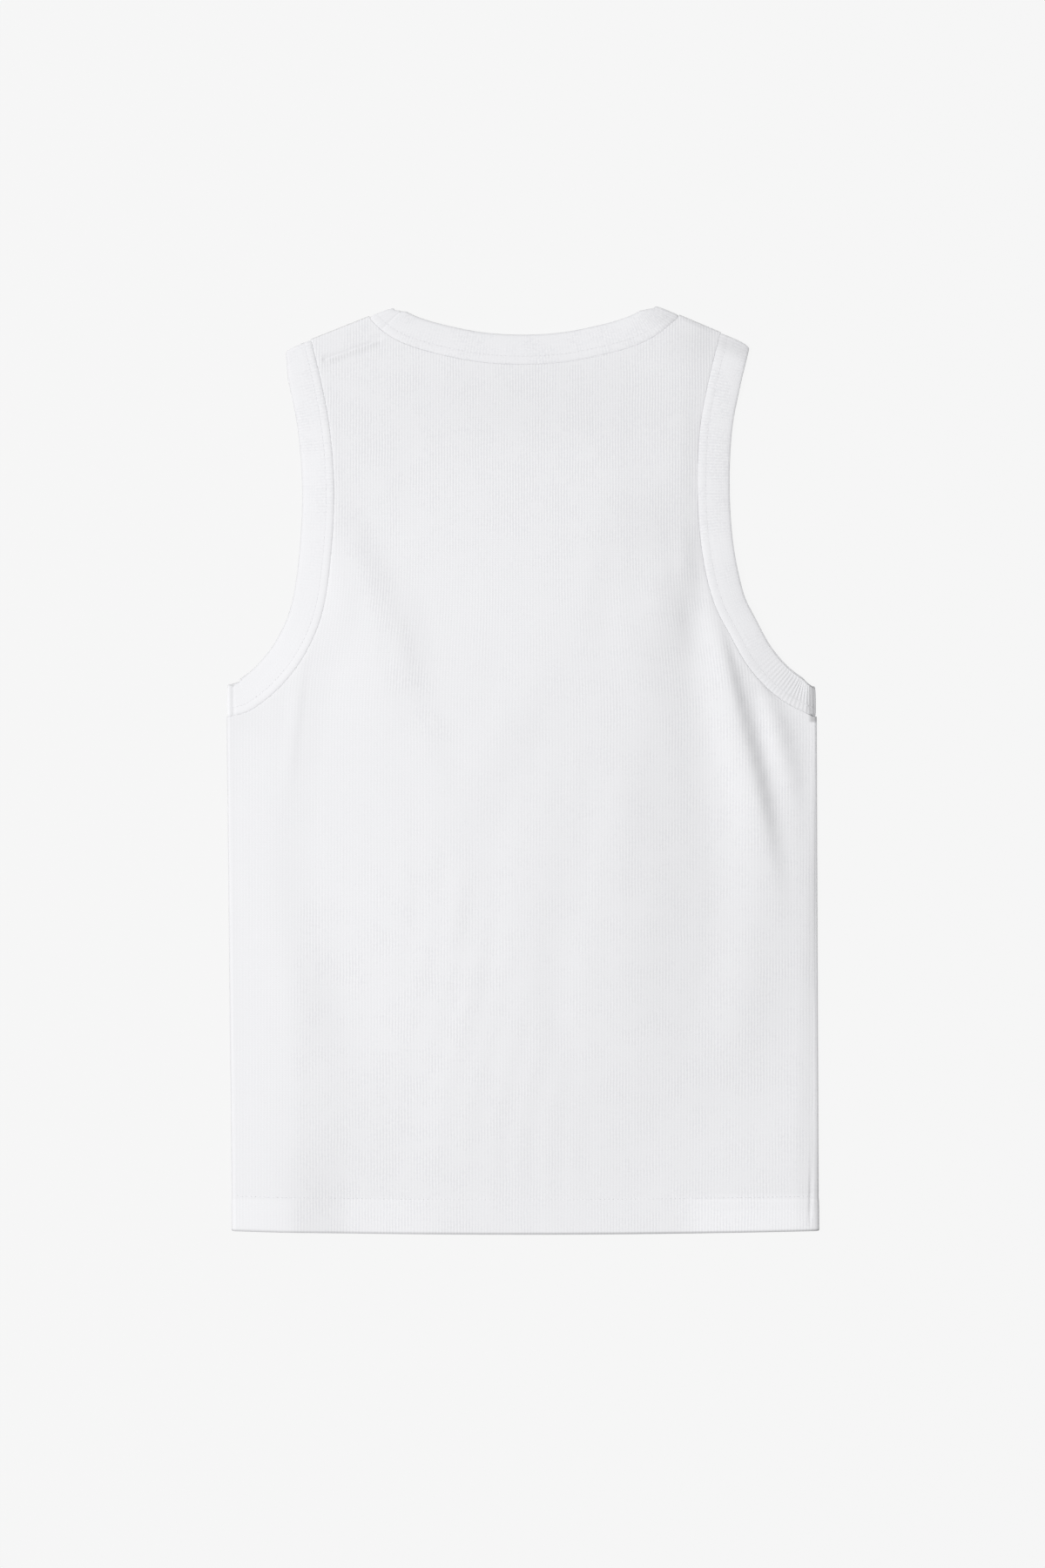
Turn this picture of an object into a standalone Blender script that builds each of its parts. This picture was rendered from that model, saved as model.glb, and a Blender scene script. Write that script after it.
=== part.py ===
"""Rib-knit tank top lying flat with its back up.

The garment has five cut pieces: a back, a front, a neck band and two armhole bands.
Axes: X across, Y from hem to shoulders, Z up; the origin is under the middle of the garment.
Sizes are in millimetres and heights along the garment are measured from the hem, until a mesh
is made from them.
"""

import math
from typing import NamedTuple

import bmesh
import bpy
import numpy as np
from mathutils.geometry import delaunay_2d_cdt

MM = 0.001

# Garment
LENGTH = 632.0
UNDERARM_HEIGHT = 352.3
UNDERARM_CURVE = 30.0
HEM_BOW = 2.5
HALF_WIDTH = 201.5

# Cloth
CLOTH = 1.2
HEM_CLOTH = 2.0
HEM_DEPTH = 24.0
HEM_STEP = 1.5
SEAM_GAP = 0.3
PANEL_RADIUS = 2.2

# Ribs
RIB_PITCH = 2.08
RIB_HEIGHT = 0.35

# Bands
BAND_CLOTH = 2.6
BAND_RADIUS = BAND_CLOTH + SEAM_GAP / 2
ARMHOLE_BAND_WIDTH = 21.8
NECK_BAND_WIDTH = 20.2
NECK_BAND_AT_SHOULDER = 17.5
BAND_TURN_SHARE = 0.08

# How the back stands up: a low crown, and folds that calm down towards the seams and the hem
CROWN_RISE = 2.4
CROWN_START = 150.0
CROWN_SPREAD = 0.35
SEAM_CALM = 16.0
SIDE_CALM = 22.0
HEM_CALM = 60.0
HEM_FOLD_SHARE = 0.35
FOLD_FADE = 0.35

# Meshing
BACK_ROWS = (0.0, HEM_DEPTH, 96.0, 168.0, 236.0, 298.0, 345.0, 385.0, 430.0, 505.0, 568.0)
FRONT_ROWS = (0.0, HEM_DEPTH, 120.0, 240.0, 345.0, 385.0, 430.0, 505.0)
SHOULDER_ROW = 1.3
INSIDE_COLUMN = 6.2
FRONT_COLUMN = 20.0
COLUMN_CLEAR = 0.3
SEAM_STEP = 6.0
SEAM_SCAN = 0.5
BAND_STEP = 11.0
SPAN_SAMPLES = 24
ROW_SQUASH = 0.02
SHARP_ANGLE = 25.0


class ArmholePoint(NamedTuple):
    height: float
    left: float
    right: float


ARMHOLE_SEAM = (
    ArmholePoint(355.5, -187.0, 191.0),
    ArmholePoint(362.0, -176.5, 178.5),
    ArmholePoint(372.0, -165.0, 165.6),
    ArmholePoint(388.0, -151.8, 151.9),
    ArmholePoint(408.0, -141.0, 140.6),
    ArmholePoint(428.0, -134.7, 130.4),
    ArmholePoint(460.0, -130.2, 122.6),
    ArmholePoint(505.0, -127.9, 119.0),
    ArmholePoint(550.0, -131.2, 120.9),
    ArmholePoint(580.0, -136.8, 126.4),
)


class NeckPoint(NamedTuple):
    half_width: float
    height: float


BACK_NECK_SEAM = (
    NeckPoint(0.0, 591.6),
    NeckPoint(28.0, 593.2),
    NeckPoint(54.0, 598.0),
    NeckPoint(74.0, 603.5),
    NeckPoint(87.0, 609.0),
    NeckPoint(96.5, 615.5),
)
FRONT_NECK_SEAM = (
    NeckPoint(0.0, 546.0),
    NeckPoint(42.0, 549.5),
    NeckPoint(74.0, 563.0),
    NeckPoint(92.5, 584.0),
    NeckPoint(100.5, 604.0),
)


class Fold(NamedTuple):
    """A soft ridge whose crest climbs the panel; runs are measured across it."""

    name: str
    low_height: float
    low_x: float
    mid_height: float
    mid_x: float
    high_height: float
    high_x: float
    rise: float
    left_run: float
    right_run: float


FOLDS = (
    Fold("left side", 4, -146, 190, -163, 372, -156, 2.6, 26, 20),
    Fold("left blade", 315, -58, 405, -86, 500, -122, 3.2, 44, 22),
    Fold("left blade tail", 255, -40, 300, -52, 350, -66, 1.4, 24, 16),
    Fold("centre drag", 306, -54, 360, -14, 418, 30, 2.4, 34, 26),
    Fold("centre small", 190, -44, 228, -30, 262, -14, 1.1, 16, 14),
    Fold("centre low", 60, 34, 150, 34, 236, 26, 1.3, 30, 14),
    Fold("right slope", 120, 70, 300, 84, 560, 86, 3.4, 70, 40),
    Fold("right crest", 170, 150, 300, 147, 425, 131, 3.6, 22, 30),
    Fold("right crease", 232, 174, 312, 157, 400, 137, 3.4, 16, 15),
    Fold("right outer crease", 276, 189, 318, 181, 362, 172, 1.6, 10, 12),
)


class Section(NamedTuple):
    """One corner of a band's section.

    Its place across is measured from the seam where base is 0 and from the outer edge where it
    is 1; its height is a share of the band's thickness, up from the inner side.
    """

    base: float
    across: float
    height: float
    ribbed: bool


BAND_SECTION = (
    Section(0, 0.0, 0.0, False),
    Section(0, 0.0, 0.86, False),
    Section(0, 0.7, 1.0, True),
    Section(1, -1.7, 1.0, True),
    Section(1, -0.2, 0.68, False),
    Section(1, -0.2, 0.3, False),
    Section(1, -1.8, 0.0, False),
)


class FoldLine:
    """A straight line that the cloth turns over. Insets are measured inwards from it."""

    def __init__(self, start, end, inside=(0.0, 300.0)):
        self.start = np.array(start, dtype=float)
        run = np.array(end, dtype=float) - self.start
        self.along = run / np.linalg.norm(run)
        self.inward = np.array((-self.along[1], self.along[0]))
        if np.dot(np.array(inside) - self.start, self.inward) < 0:
            self.inward = -self.inward

    def at(self, travel, inset=0.0):
        return self.start + self.along * travel + self.inward * inset

    def inset(self, point):
        return float(np.dot(point - self.start, self.inward))


class Side(NamedTuple):
    """One half of the garment: its fold lines, and where the seams meet them."""

    sign: int
    side: FoldLine
    shoulder: FoldLine
    neck_travel: float
    armhole_travel: float
    band_at_shoulder: float


LEFT = Side(
    -1,
    FoldLine((-197.5, 0.0), (-HALF_WIDTH, 373.0)),
    FoldLine((-88.0, 631.2), (-159.6, 602.8)),
    NECK_BAND_AT_SHOULDER,
    60.4,
    19.5,
)
RIGHT = Side(
    1,
    FoldLine((HALF_WIDTH, 0.0), (200.0, 373.0)),
    FoldLine((90.5, LENGTH + 0.55), (153.0, 606.1)),
    NECK_BAND_AT_SHOULDER,
    48.3,
    22.0,
)
FOLD_LINES = (LEFT.side, RIGHT.side, LEFT.shoulder, RIGHT.shoulder)


def ease(amount):
    amount = min(max(amount, 0.0), 1.0)
    return amount * amount * (3.0 - 2.0 * amount)


def hem_height(x):
    return HEM_BOW * (x / HALF_WIDTH) ** 2


def smooth_curve(knots, step):
    """Points about a step apart on a centripetal curve through the knots."""
    knots = [np.array(knot, dtype=float) for knot in knots]
    ends = [2 * knots[0] - knots[1], *knots, 2 * knots[-1] - knots[-2]]
    fine = []
    for before, start, end, after in zip(ends, ends[1:], ends[2:], ends[3:]):
        times = [0.0]
        for first, second in ((before, start), (start, end), (end, after)):
            times.append(times[-1] + math.sqrt(np.linalg.norm(second - first)))
        for share in np.linspace(0.0, 1.0, SPAN_SAMPLES, endpoint=False):
            now = times[1] + share * (times[2] - times[1])
            lower = blend(before, start, times[0], times[1], now)
            middle = blend(start, end, times[1], times[2], now)
            upper = blend(end, after, times[2], times[3], now)
            left = blend(lower, middle, times[0], times[2], now)
            right = blend(middle, upper, times[1], times[3], now)
            fine.append(blend(left, right, times[1], times[2], now))
    fine.append(knots[-1])
    return resampled(np.array(fine), step=step)


def blend(first, second, start, end, now):
    return first + (second - first) * ((now - start) / (end - start))


def travels(points):
    steps = np.linalg.norm(np.diff(points, axis=0), axis=1)
    return np.concatenate(([0.0], np.cumsum(steps)))


def resampled(points, step):
    travel = travels(points)
    count = max(2, int(round(travel[-1] / step)) + 1)
    stops = np.linspace(0.0, travel[-1], count)
    return np.column_stack([np.interp(stops, travel, points[:, axis]) for axis in (0, 1)])


def point_at(points, share):
    travel = travels(points)
    stop = share * travel[-1]
    return np.array([np.interp(stop, travel, points[:, axis]) for axis in (0, 1)])


def armhole_seam(half, step=SEAM_STEP):
    """The seam from the underarm fold to the shoulder fold, both met square."""
    underarm = half.side.at(UNDERARM_HEIGHT)
    underarm_in = half.side.at(UNDERARM_HEIGHT, BAND_RADIUS)
    shoulder_in = half.shoulder.at(half.armhole_travel, BAND_RADIUS)
    shoulder = half.shoulder.at(half.armhole_travel)
    column = "left" if half.sign < 0 else "right"
    knots = [underarm_in]
    knots += [(getattr(point, column), point.height) for point in ARMHOLE_SEAM]
    knots.append(shoulder_in)
    return np.vstack((underarm, smooth_curve(knots, step), shoulder))


def neck_seam(points, step=SEAM_STEP):
    """A neck seam from the left shoulder fold to the right one, both met square."""
    knots = [LEFT.shoulder.at(LEFT.neck_travel, BAND_RADIUS)]
    knots += [(-point.half_width, point.height) for point in reversed(points[1:])]
    knots += [(point.half_width, point.height) for point in points]
    knots.append(RIGHT.shoulder.at(RIGHT.neck_travel, BAND_RADIUS))
    left = LEFT.shoulder.at(LEFT.neck_travel)
    right = RIGHT.shoulder.at(RIGHT.neck_travel)
    return np.vstack((left, smooth_curve(knots, step), right))


ARMHOLES = {half.sign: armhole_seam(half, 1.0) for half in (LEFT, RIGHT)}
BACK_NECK = neck_seam(BACK_NECK_SEAM, 1.0)
FRONT_NECK = neck_seam(FRONT_NECK_SEAM, 1.0)


def seam_clearance(point):
    """How far a point of the back lies from the nearest band seam."""
    seams = (ARMHOLES[-1], ARMHOLES[1], BACK_NECK)
    return min(float(np.min(np.linalg.norm(seam - point, axis=1))) for seam in seams)


def fold_rise(fold, x, height):
    """One ridge's height: its crest is a parabola, and it dies out at both ends."""
    if not fold.low_height < height < fold.high_height:
        return 0.0
    low, mid, high = fold.low_height, fold.mid_height, fold.high_height
    crest = fold.low_x * (height - mid) * (height - high) / ((low - mid) * (low - high))
    crest += fold.mid_x * (height - low) * (height - high) / ((mid - low) * (mid - high))
    crest += fold.high_x * (height - low) * (height - mid) / ((high - low) * (high - mid))
    offset = x - crest
    run = fold.left_run if offset < 0 else fold.right_run
    share = (height - low) / (high - low)
    fade = ease(share / FOLD_FADE) * ease((1.0 - share) / FOLD_FADE)
    return fold.rise * fade * ease(1.0 - abs(offset) / run)


def lift(point):
    """How far the back stands up from lying flat."""
    x, height = point
    calm = min(LEFT.side.inset(point), RIGHT.side.inset(point)) / SIDE_CALM
    calm = min(calm, seam_clearance(point) / SEAM_CALM)
    crown = CROWN_RISE * ease(calm * CROWN_SPREAD) * ease(height / CROWN_START)
    ridges = sum(fold_rise(fold, x, height) for fold in FOLDS)
    hem = HEM_FOLD_SHARE + (1.0 - HEM_FOLD_SHARE) * ease(height / HEM_CALM)
    return crown + ridges * ease(calm) * hem


def placed(point, depth, lifted):
    """A point of a panel in space: depth is measured in from its outer face."""
    nearest = min(FOLD_LINES, key=lambda line: line.inset(point))
    inset = max(nearest.inset(point), 0.0)
    if inset >= PANEL_RADIUS:
        rise = lift(point) if lifted else 0.0
        return np.array((point[0], point[1], 2 * PANEL_RADIUS - depth + rise))
    turn = math.asin((PANEL_RADIUS - inset) / PANEL_RADIUS)
    radius = PANEL_RADIUS - depth
    plan = point + nearest.inward * (PANEL_RADIUS - inset - radius * math.sin(turn))
    drop = max(radius * math.cos(turn), SEAM_GAP / 2)
    return np.array((plan[0], plan[1], PANEL_RADIUS + drop))


class Outline:
    """A panel's outline: hem, sides, armhole seams, shoulders and neck seam."""

    def __init__(self, neck):
        self.neck = neck
        left_armhole = LEFT.shoulder.at(LEFT.armhole_travel)
        right_armhole = RIGHT.shoulder.at(RIGHT.armhole_travel)
        self.top = np.vstack((left_armhole, neck, right_armhole))

    def top_height(self, x):
        return float(np.interp(x, self.top[:, 0], self.top[:, 1]))

    def ends(self, height):
        """The panel's left and right reach at a height."""
        reach = []
        for half in (LEFT, RIGHT):
            seam = ARMHOLES[half.sign]
            if height <= UNDERARM_HEIGHT:
                reach.append(half.side.at(height)[0])
            else:
                reach.append(float(np.interp(height, seam[:, 1], seam[:, 0])))
        return reach

    def side_points(self, half, heights, spacing):
        """A side from hem to shoulder: the rows below the underarm, then the seam.

        The seam has a point for each column that it crosses, and no long steps.
        """
        points = [half.side.at(height) for height in heights if height < UNDERARM_HEIGHT]
        points[0] = np.array((points[0][0], hem_height(points[0][0])))
        seam = resampled(ARMHOLES[half.sign][1:-1], SEAM_SCAN)
        points += [ARMHOLES[half.sign][0], seam[0]]
        for point in seam[1:-1]:
            passed = math.floor(point[0] / spacing) != math.floor(points[-1][0] / spacing)
            far = np.linalg.norm(point - points[-1]) >= SEAM_STEP
            if far or (passed and point[1] < UNDERARM_HEIGHT + UNDERARM_CURVE):
                points.append(point)
        return np.vstack((*points, seam[-1], ARMHOLES[half.sign][-1]))


def columns(left, right, spacing, clear):
    """Column positions on one grid over the whole panel, clear of its two edges."""
    first = math.ceil((left + clear) / spacing)
    last = math.floor((right - clear) / spacing)
    return [index * spacing for index in range(first, last + 1)]


def panel_face(outline, heights, spacing):
    """The plan points and triangles of one face of a panel, and the sizes of its border's parts.

    Rows cross the panel at the heights, and one more follows its top edge.
    """
    left = outline.side_points(LEFT, heights, spacing)
    right = outline.side_points(RIGHT, heights, spacing)
    clear = spacing * COLUMN_CLEAR
    hem = [(x, hem_height(x)) for x in columns(left[0][0], right[0][0], spacing, clear)]
    corners = [outline.neck[index][0] for index in (0, 1, -2, -1)]
    steep = [point[0] for point in resampled(outline.neck[1:-1], SEAM_STEP)]
    top_x = columns(left[-1][0], right[-1][0], spacing, clear)
    top_x = [x for x in top_x if min(abs(x - corner) for corner in corners) > clear]
    if spacing > SEAM_STEP:
        top_x = [x for x in top_x if not corners[0] < x < corners[-1]] + steep[1:-1]
    top_x = sorted(top_x + corners)
    top = [(x, outline.top_height(x)) for x in top_x]
    loop = [left[0], *hem, *right, *reversed(top), *reversed(left[1:])]
    inner = []
    for height in heights[1:]:
        reach = outline.ends(height)
        inner += [(x, height) for x in columns(*reach, spacing, clear)]
    for x in top_x:
        height = outline.top_height(x) - SHOULDER_ROW
        reach = outline.ends(height)
        if reach[0] + clear < x < reach[1] - clear:
            inner.append((x, height))
    points = [np.array(point, dtype=float) for point in loop + inner]
    squashed = [(point[0], point[1] * ROW_SQUASH) for point in points]
    border = [(index, (index + 1) % len(loop)) for index in range(len(loop))]
    found = delaunay_2d_cdt(squashed, border, [], 1, 1e-7)
    triangles = [tuple(face) for face in found[2]]
    parts = (len(hem) + 2, len(right), len(top) + 2, len(left))
    return points, triangles, parts


def zip_strip(mesh, first, second):
    """Triangles between two chains of (share, vertex) pairs."""
    one = 0
    two = 0
    while one < len(first) - 1 or two < len(second) - 1:
        take_first = two == len(second) - 1
        if one < len(first) - 1 and not take_first:
            ahead = first[one + 1][0] + first[one][0]
            take_first = ahead <= second[two + 1][0] + second[two][0]
        if take_first:
            corners = (first[one][1], first[one + 1][1], second[two][1])
            one += 1
        else:
            corners = (first[one][1], second[two + 1][1], second[two][1])
            two += 1
        if len(set(corners)) == 3:
            mesh.faces.new(corners)


def shares(vertices, points):
    travel = travels(np.array(points))
    return list(zip(travel / travel[-1], vertices))


def rim_chains(vertices, points, parts):
    """A face's border cut at its four corners."""
    chains = []
    start = 0
    border = sum(parts) - len(parts)
    loop = list(range(border)) + [0]
    for count in parts:
        chosen = loop[start:start + count]
        chains.append(shares([vertices[i] for i in chosen], [points[i] for i in chosen]))
        start += count - 1
    return chains


def make_panel(name, outline, rows, outer_column, inner_column, back):
    """A panel's wall between its outer face, ribbed on the back, and its plain inside.

    The inside has the hem's edge as two rows where the outer face has one.
    """
    mesh = bmesh.new()
    rims = []
    inside_rows = (rows[0], HEM_DEPTH, HEM_DEPTH + HEM_STEP, *rows[2:])
    for face_rows, spacing, is_outer in (
        (rows, outer_column, True),
        (inside_rows, inner_column, False),
    ):
        points, triangles, parts = panel_face(outline, face_rows, spacing)
        vertices = []
        for point in points:
            depth = 0.0
            if is_outer and back:
                depth = -RIB_HEIGHT * (round(point[0] / spacing) % 2)
            elif not is_outer:
                depth = HEM_CLOTH if point[1] <= HEM_DEPTH else CLOTH
            place = placed(point, depth, back)
            if not back:
                place[2] = 2 * PANEL_RADIUS - place[2]
            place[1] -= LENGTH / 2
            vertices.append(mesh.verts.new(place * MM))
        for triangle in triangles:
            mesh.faces.new([vertices[index] for index in triangle])
        rims.append(rim_chains(vertices, points, parts))
    for outer, inner in zip(*rims):
        zip_strip(mesh, outer, inner)
    return finish(name, mesh)


class Band:
    """A flat band round an opening: up one layer, over a fold, down the other and back.

    Its route runs 0 to 1 on the back, 1 to 2 over its last fold, 2 to 3 on the front and
    3 to 4 over its first fold.
    """

    def __init__(self, name, back, front, width, first, last):
        self.name = name
        self.seams = (back, front)
        self.width = width
        self.first = first
        self.last = last

    def crossing(self, seam, share):
        """A section's start, clear of the seam, its direction and its width."""
        point = point_at(seam, share)
        ahead = point_at(seam, min(share + 0.01, 1.0))
        behind = point_at(seam, max(share - 0.01, 0.0))
        tangent = (ahead - behind) / np.linalg.norm(ahead - behind)
        across = np.array((-tangent[1], tangent[0]))
        middle = np.array((self.first.outward + self.last.outward) / 2)
        if np.dot(across, middle) < 0:
            across = -across
        point = point + across * SEAM_GAP
        width = self.width - SEAM_GAP
        for end, reach in ((self.first, share), (self.last, 1.0 - share)):
            pull = ease(1.0 - reach / BAND_TURN_SHARE)
            across = across * (1.0 - pull) + end.outward * pull
            width = width * (1.0 - pull) + (end.width - SEAM_GAP) * pull
        return point, across / np.linalg.norm(across), width

    def place(self, route, corner, raised):
        """A corner of the section in space at a point of the route."""
        lap = int(route) % 4
        share = route - int(route)
        seam = self.seams[0]
        turn = 0.0
        end = self.first
        if lap == 1:
            share, turn, end = 1.0, share * math.pi, self.last
        elif lap == 2:
            share, turn, seam = 1.0 - share, math.pi, self.seams[1]
        elif lap == 3:
            share, turn = 0.0, (1.0 - share) * math.pi
        start, across, width = self.crossing(seam, share)
        reach = corner.base * width + corner.across
        radius = SEAM_GAP / 2 + corner.height * BAND_CLOTH + raised
        plan = start + across * reach - end.line.inward * (radius * math.sin(turn))
        return (plan[0], plan[1], BAND_RADIUS + radius * math.cos(turn))

    def stations(self, ribbed):
        """Route positions round the ring; the back's are two to a rib where it is ribbed."""
        back_length = travels(self.seams[0])[-1]
        front_length = travels(self.seams[1])[-1]
        step = RIB_PITCH / 2 if ribbed else BAND_STEP
        back_count = int(round(back_length / step))
        front_count = int(round(front_length / BAND_STEP))
        route = [index / back_count for index in range(back_count + 1)]
        route += [1.25, 1.5, 1.75]
        route += [2.0 + index / front_count for index in range(front_count + 1)]
        route += [3.25, 3.5, 3.75, 4.0]
        return route

    def build(self):
        mesh = bmesh.new()
        rows = []
        for corner in BAND_SECTION:
            row = []
            for index, route in enumerate(self.stations(corner.ribbed)[:-1]):
                raised = 0.0
                if corner.ribbed and 0.0 < route < 1.0:
                    raised = RIB_HEIGHT * (index % 2)
                plan_x, plan_y, height = self.place(route, corner, raised)
                place = np.array((plan_x, plan_y - LENGTH / 2, height))
                row.append((route, mesh.verts.new(place * MM)))
            row.append((4.0, row[0][1]))
            rows.append(row)
        for lower, upper in zip(rows, rows[1:] + rows[:1]):
            zip_strip(mesh, lower, upper)
        return finish(self.name, mesh)


class BandEnd(NamedTuple):
    """Where a band turns over: the fold line, the way to its outer edge, its width there."""

    line: FoldLine
    outward: np.ndarray
    width: float


def finish(name, mesh):
    """Closes a mesh, turns its faces out and gives it to a new object."""
    bmesh.ops.recalc_face_normals(mesh, faces=mesh.faces)
    data = bpy.data.meshes.new(name)
    mesh.to_mesh(data)
    mesh.free()
    data.materials.append(cotton_rib(name))
    part = bpy.data.objects.new(name, data)
    bpy.context.scene.collection.objects.link(part)
    data.shade_smooth()
    data.set_sharp_from_angle(angle=math.radians(SHARP_ANGLE))
    return part


def cotton_rib(name):
    material = bpy.data.materials.new("cotton_rib_" + name)
    material.use_nodes = True
    shader = material.node_tree.nodes["Principled BSDF"]
    shader.inputs["Base Color"].default_value = (0.86, 0.86, 0.87, 1.0)
    shader.inputs["Roughness"].default_value = 0.85
    shader.inputs["Metallic"].default_value = 0.0
    shader.inputs["Sheen Weight"].default_value = 0.3
    return material


def clear_scene():
    for item in list(bpy.data.objects):
        bpy.data.objects.remove(item, do_unlink=True)


def main():
    clear_scene()
    back = Outline(BACK_NECK)
    front = Outline(FRONT_NECK)
    make_panel("back", back, BACK_ROWS, RIB_PITCH / 2, INSIDE_COLUMN, True)
    make_panel("front", front, FRONT_ROWS, FRONT_COLUMN, FRONT_COLUMN, False)
    for half, name in ((LEFT, "armhole_band_left"), (RIGHT, "armhole_band_right")):
        seam = ARMHOLES[half.sign][1:-1]
        underarm = BandEnd(half.side, half.side.along, ARMHOLE_BAND_WIDTH)
        shoulder = BandEnd(half.shoulder, half.shoulder.along, half.band_at_shoulder)
        Band(name, seam, seam, ARMHOLE_BAND_WIDTH, underarm, shoulder).build()
    left_neck = BandEnd(LEFT.shoulder, -LEFT.shoulder.along, NECK_BAND_AT_SHOULDER)
    right_neck = BandEnd(RIGHT.shoulder, -RIGHT.shoulder.along, NECK_BAND_AT_SHOULDER)
    seams = (BACK_NECK[1:-1], FRONT_NECK[1:-1])
    Band("neck_band", *seams, NECK_BAND_WIDTH, left_neck, right_neck).build()


main()
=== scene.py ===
import math

import bmesh
import bpy
import numpy as np
from mathutils import Matrix, Vector, kdtree


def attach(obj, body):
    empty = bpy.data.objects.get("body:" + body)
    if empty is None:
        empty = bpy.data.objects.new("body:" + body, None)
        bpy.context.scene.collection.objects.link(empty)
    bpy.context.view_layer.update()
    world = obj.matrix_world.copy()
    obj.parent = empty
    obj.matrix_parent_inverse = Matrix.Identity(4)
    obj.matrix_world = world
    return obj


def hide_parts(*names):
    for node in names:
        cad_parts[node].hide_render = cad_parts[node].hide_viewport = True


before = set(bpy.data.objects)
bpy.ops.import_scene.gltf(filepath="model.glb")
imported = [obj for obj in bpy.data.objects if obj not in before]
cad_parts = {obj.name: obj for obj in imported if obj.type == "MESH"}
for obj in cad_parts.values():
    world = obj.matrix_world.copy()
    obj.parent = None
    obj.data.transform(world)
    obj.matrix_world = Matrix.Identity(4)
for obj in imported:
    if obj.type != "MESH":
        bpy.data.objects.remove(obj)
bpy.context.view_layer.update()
print("frame:", ", ".join(sorted(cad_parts)))

mm = 0.001

# Heights are measured up from the hem, in millimetres, until a mesh is finished.
garment = {
    "length": 632.0, "halfWidth": 201.5, "underarm": 352.3, "hemBow": 2.5, "foldRadius": 2.2, "seamGap": 0.3,
    "cloth": 0.95, "sideTop": 380.0, "shoulderFrom": 590.0, "sideCalm": 30.0,
}
# The ribs draw together above the waist
ribs = {
    "pitch": 2.08, "steps": 4, "depth": 0.06, "bandDepth": 0.012, "profile": (0.0, 0.66, 1.0, 0.66),
    "drawnIn": 0.07, "drawnFrom": 351.0, "drawnTo": 460.0,
}
ribStep = ribs["pitch"] / ribs["steps"]


# Outline

class FoldLine:
    def __init__(self, start, end):
        self.start = np.array(start, float)
        run = np.array(end, float) - self.start
        self.along = run / np.linalg.norm(run)
        self.inward = np.array((-self.along[1], self.along[0]))
        if (np.array((0.0, 300.0)) - self.start) @ self.inward < 0:
            self.inward = -self.inward

    def at(self, travel, inset=0.0):
        return self.start + self.along * travel + self.inward * inset

    def inset(self, points):
        return (points - self.start) @ self.inward

    def crossAt(self, height):
        return self.start[0] + (height - self.start[1]) * self.along[0] / self.along[1]


left = {
    "sign": -1,
    "side": FoldLine((-197.5, 0.0), (-201.5, 373.0)),
    "shoulder": FoldLine((-88.0, 631.2), (-159.6, 602.8)),
    "neckTravel": 17.5,
    "armholeTravel": 60.4,
    "shoulderRun": 130.0,
    "bandAtShoulder": 19.5,
    "armholeSeam": (
        (-187.0, 355.5), (-176.5, 362.0), (-165.0, 372.0), (-151.8, 388.0), (-141.0, 408.0),
        (-134.7, 428.0), (-130.2, 460.0), (-127.9, 505.0), (-131.2, 550.0), (-136.8, 580.0),
    ),
    "standing": {"rise": 1.8, "heights": (345.0, 400.0, 500.0, 590.0), "reach": 26.0, "outer": 0.2},
    "narrowing": 0.0,
}
right = {
    "sign": 1,
    "side": FoldLine((201.5, 0.0), (200.0, 373.0)),
    "shoulder": FoldLine((90.5, 632.55), (153.0, 606.1)),
    "neckTravel": 17.5,
    "armholeTravel": 48.3,
    "shoulderRun": 125.0,
    "bandAtShoulder": 22.0,
    "armholeSeam": (
        (191.0, 355.5), (178.5, 362.0), (165.6, 372.0), (151.9, 388.0), (140.6, 408.0),
        (130.4, 428.0), (122.6, 460.0), (119.0, 505.0), (120.9, 550.0), (126.4, 580.0),
    ),
    "standing": {"rise": 5.0, "heights": (352.0, 400.0, 425.0, 500.0), "reach": 24.0, "outer": 0.45},
    "narrowing": 1.2,
}
backNeck = ((0.0, 591.6), (28.0, 593.2), (54.0, 598.0), (74.0, 603.5), (87.0, 609.0), (96.5, 615.5))
frontNeck = ((0.0, 546.0), (42.0, 549.5), (74.0, 563.0), (92.5, 584.0), (100.5, 604.0))


# How finely curves are drawn: points from knot to knot, and spacings in millimetres
curves = {"spansPerKnot": 24, "seam": 0.5, "cut": 0.2, "crease": 0.3, "grow": 0.1, "band": 1.0}


def ease(amount):
    amount = np.clip(amount, 0.0, 1.0)
    return amount * amount * (3.0 - 2.0 * amount)


def mixed(first, second, start, end, now):
    return first + (second - first) * ((now - start) / (end - start))


def travels(points):
    steps = np.linalg.norm(np.diff(points, axis=0), axis=1)
    return np.concatenate(([0.0], np.cumsum(steps)))


def resampled(points, step):
    travel = travels(points)
    count = max(2, int(round(travel[-1] / step)) + 1)
    stops = np.linspace(0.0, travel[-1], count)
    return np.column_stack([np.interp(stops, travel, points[:, k]) for k in range(points.shape[1])])


def smoothCurve(knots, step):
    # centripetal, through every knot
    knots = [np.array(knot, float) for knot in knots]
    ends = [2 * knots[0] - knots[1], *knots, 2 * knots[-1] - knots[-2]]
    fine = []
    for before, start, end, after in zip(ends, ends[1:], ends[2:], ends[3:]):
        times = [0.0]
        for first, second in ((before, start), (start, end), (end, after)):
            times.append(times[-1] + math.sqrt(np.linalg.norm(second - first)))
        for share in np.linspace(0.0, 1.0, curves["spansPerKnot"], endpoint=False):
            now = times[1] + share * (times[2] - times[1])
            lower = mixed(before, start, times[0], times[1], now)
            middle = mixed(start, end, times[1], times[2], now)
            upper = mixed(end, after, times[2], times[3], now)
            first = mixed(lower, middle, times[0], times[2], now)
            second = mixed(middle, upper, times[1], times[3], now)
            fine.append(mixed(first, second, times[1], times[2], now))
    fine.append(knots[-1])
    return resampled(np.array(fine), step)


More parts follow.
